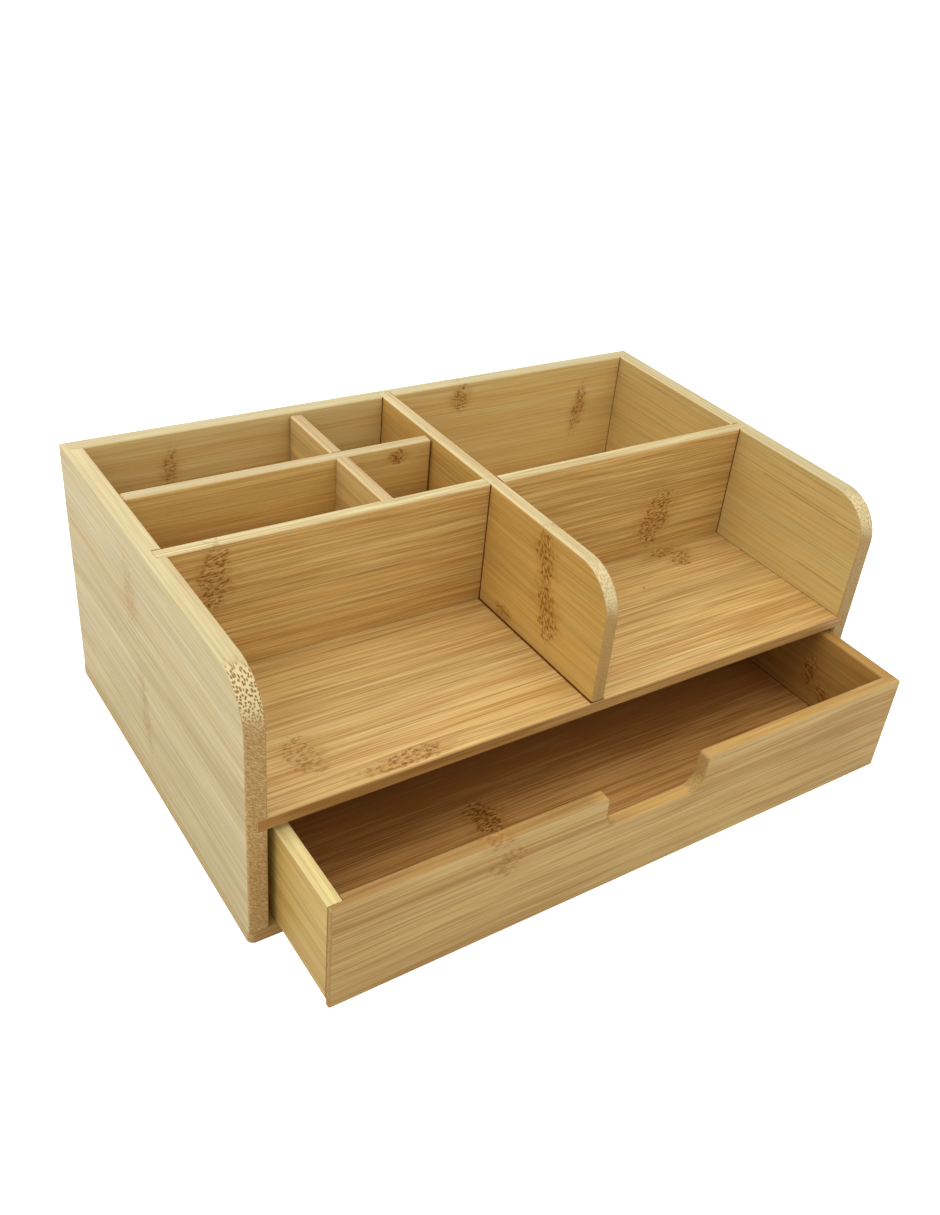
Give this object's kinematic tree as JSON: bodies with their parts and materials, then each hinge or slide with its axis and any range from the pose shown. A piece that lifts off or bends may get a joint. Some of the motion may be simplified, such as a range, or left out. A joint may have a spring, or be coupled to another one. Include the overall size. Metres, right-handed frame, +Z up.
{
  "type": "desktop drawer organizer",
  "caption": "Bamboo desktop organizer: open compartments with round-cornered sides over a shelf, and a full-width drawer with a finger notch under it.",
  "frame": {"origin": "centre of the case's underside, on the surface that it stands on", "axes": "+X to the right, +Y to the back, +Z up; the drawer opens along -Y"},
  "size_m": [0.33, 0.2494, 0.13],
  "materials": {
    "bamboo_side": "satin",
    "bamboo_board": "satin",
    "bamboo_divider": "satin",
    "bamboo_drawer": "satin",
    "bamboo_panel": "satin"
  },
  "bodies": {
    "case": {"base_board": "bamboo_side", "left_side": "bamboo_side", "right_side": "bamboo_side", "back_panel": "bamboo_board", "shelf": "bamboo_board", "centre_divider": "bamboo_divider", "cross_divider": "bamboo_divider", "long_insert_divider": "bamboo_divider", "short_insert_divider": "bamboo_divider"},
    "drawer": {"drawer_front": "bamboo_drawer", "drawer_left_side": "bamboo_drawer", "drawer_right_side": "bamboo_drawer", "drawer_back": "bamboo_drawer", "drawer_bottom": "bamboo_panel"}
  },
  "joints": [
    {"name": "drawer_slide", "type": "slide", "parent": "case", "child": "drawer", "axis": [0, -1, 0], "range_m": [-0.039, 0.1]}
  ]
}
